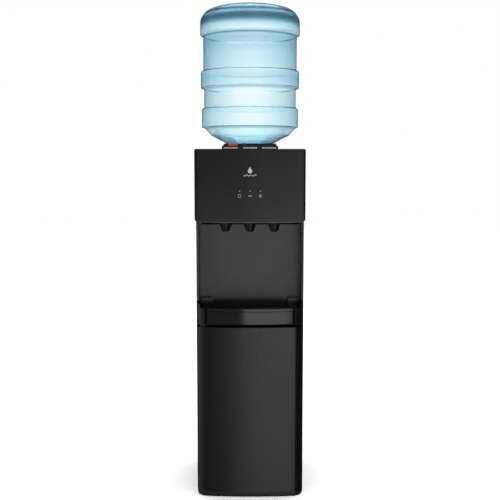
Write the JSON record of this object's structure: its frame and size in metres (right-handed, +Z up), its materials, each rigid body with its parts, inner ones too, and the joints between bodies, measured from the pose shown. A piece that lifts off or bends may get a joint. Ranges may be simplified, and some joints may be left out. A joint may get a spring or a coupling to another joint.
{
  "type": "bottled water dispenser",
  "caption": "Tall black cabinet with a bowed front, dispensing niche with drip tray and taps, rocking push buttons and an inverted pale blue bottle on top.",
  "frame": {"origin": "on the floor under the middle of the machine's box, condenser included", "axes": "+X to the user's right, -Y the front with the taps, +Z up"},
  "size_m": [0.3, 0.33, 1.3605],
  "materials": {
    "black_abs": "satin moulded black ABS",
    "dark_abs": "fine-textured dark ABS",
    "black_steel": "black powder-coated sheet steel",
    "stainless": "drawn stainless steel",
    "spring_steel": "bright spring wire",
    "copper": "drawn copper tube",
    "foam": "expanded polystyrene",
    "grey_plastic": "natural grey polypropylene",
    "silicone": "translucent silicone",
    "rubber": "black rubber",
    "red_plastic": "glossy red ABS",
    "green_plastic": "glossy green ABS",
    "board": "green circuit board",
    "bottle_pc": "pale blue polycarbonate"
  },
  "bodies": {
    "cabinet": {"base_pan": "black_steel", "base_plinth": "dark_abs", "rubber_feet": "rubber", "left_side_panel": "black_steel", "right_side_panel": "black_steel", "front_panel": "black_abs", "niche_liner": "black_abs", "tray_holder": "black_abs", "head_cover": "black_abs", "top_cover": "black_abs", "bottle_funnel": "dark_abs", "water_probe": "grey_plastic", "funnel_seal": "rubber", "button_housing": "black_abs", "hot_tap": "black_abs", "room_tap": "black_abs", "cold_tap": "black_abs", "hot_spring": "spring_steel", "room_spring": "spring_steel", "cold_spring": "spring_steel", "indicator_board": "board", "indicator_lights": "grey_plastic", "cold_tank": "stainless", "cold_insulation": "foam", "evaporator_coil": "copper", "baffle_plate": "grey_plastic", "hot_tank": "stainless", "hot_insulation": "foam", "heater_band": "stainless", "thermostats": "black_abs", "water_hoses": "silicone", "compressor": "black_steel", "compressor_grommets": "rubber", "condenser_coil": "black_steel", "condenser_wires": "black_steel", "dryer_filter": "copper", "refrigerant_lines": "copper", "rear_panel": "black_steel", "switch_bezel": "black_abs", "cord_gland": "black_abs", "drain_outlet": "grey_plastic", "panel_screws": "stainless"},
    "bottle": {"bottle": "bottle_pc", "bottle_cap": "grey_plastic"},
    "hot_button": {"hot_button": "black_abs"},
    "room_button": {"room_button": "black_abs"},
    "cold_button": {"cold_button": "black_abs"},
    "hot_valve": {"hot_push_rod": "grey_plastic", "hot_plunger": "rubber"},
    "room_valve": {"room_push_rod": "grey_plastic", "room_plunger": "rubber"},
    "cold_valve": {"cold_push_rod": "grey_plastic", "cold_plunger": "rubber"},
    "child_lock": {"child_lock": "red_plastic"},
    "drip_tray": {"drip_tray": "black_abs"},
    "drip_grille": {"drip_grille": "dark_abs"},
    "hot_switch": {"hot_switch": "red_plastic"},
    "cold_switch": {"cold_switch": "green_plastic"},
    "drain_washer": {"drain_washer": "rubber"},
    "drain_cap": {"drain_cap": "black_abs"}
  },
  "joints": [
    {"name": "bottle_lift", "type": "slide", "parent": "cabinet", "child": "bottle", "axis": [0, 0, 1], "range_m": [0, 0.12]},
    {"name": "hot_button_press", "type": "hinge", "parent": "cabinet", "child": "hot_button", "pos_m": [0, -0.1225, 0.9733], "axis": [1, 0, 0], "range_deg": [0, 6], "stiffness_Nm_per_rad": 0.5, "springref_deg": -5.73},
    {"name": "hot_valve_open", "type": "slide", "parent": "cabinet", "child": "hot_valve", "axis": [0, 0, -1], "range_m": [0, 0.0021], "deforming": ["hot_spring"]},
    {"name": "room_button_press", "type": "hinge", "parent": "cabinet", "child": "room_button", "pos_m": [0, -0.1225, 0.9733], "axis": [1, 0, 0], "range_deg": [0, 6], "stiffness_Nm_per_rad": 0.5, "springref_deg": -5.73},
    {"name": "room_valve_open", "type": "slide", "parent": "cabinet", "child": "room_valve", "axis": [0, 0, -1], "range_m": [0, 0.0021], "deforming": ["room_spring"]},
    {"name": "cold_button_press", "type": "hinge", "parent": "cabinet", "child": "cold_button", "pos_m": [0, -0.1225, 0.9733], "axis": [1, 0, 0], "range_deg": [0, 6], "stiffness_Nm_per_rad": 0.5, "springref_deg": -5.73},
    {"name": "cold_valve_open", "type": "slide", "parent": "cabinet", "child": "cold_valve", "axis": [0, 0, -1], "range_m": [0, 0.0021], "deforming": ["cold_spring"]},
    {"name": "child_lock_slide", "type": "slide", "parent": "hot_button", "child": "child_lock", "axis": [0, 1, 0], "range_m": [0, 0.004], "stiffness_N_per_m": 150, "springref_m": -0.003},
    {"name": "drip_tray_pull", "type": "slide", "parent": "cabinet", "child": "drip_tray", "axis": [0, -1, 0], "range_m": [0, 0.12]},
    {"name": "drip_grille_lift", "type": "slide", "parent": "drip_tray", "child": "drip_grille", "axis": [0, 0, 1], "range_m": [0, 0.03]},
    {"name": "hot_switch_rock", "type": "hinge", "parent": "cabinet", "child": "hot_switch", "pos_m": [-0.096, 0.132, 0.9035], "axis": [1, 0, 0], "range_deg": [0, 20]},
    {"name": "cold_switch_rock", "type": "hinge", "parent": "cabinet", "child": "cold_switch", "pos_m": [-0.06, 0.132, 0.9035], "axis": [1, 0, 0], "range_deg": [0, 20]},
    {"name": "drain_washer_travel", "type": "slide", "parent": "cabinet", "child": "drain_washer", "axis": [0, 1, 0], "range_m": [0, 0.012]},
    {"name": "drain_cap_turn", "type": "hinge", "parent": "drain_washer", "child": "drain_cap", "pos_m": [-0.088, 0.135, 0.17], "axis": [0, 1, 0], "range_deg": [0, 1440]}
  ],
  "couplings": [
    {"joint": "hot_button_press", "follows": "hot_valve_open", "rad_per_m": 48.781},
    {"joint": "room_button_press", "follows": "room_valve_open", "rad_per_m": 48.781},
    {"joint": "cold_button_press", "follows": "cold_valve_open", "rad_per_m": 48.781},
    {"joint": "drain_cap_turn", "follows": "drain_washer_travel", "rad_per_m": 2094.4}
  ]
}
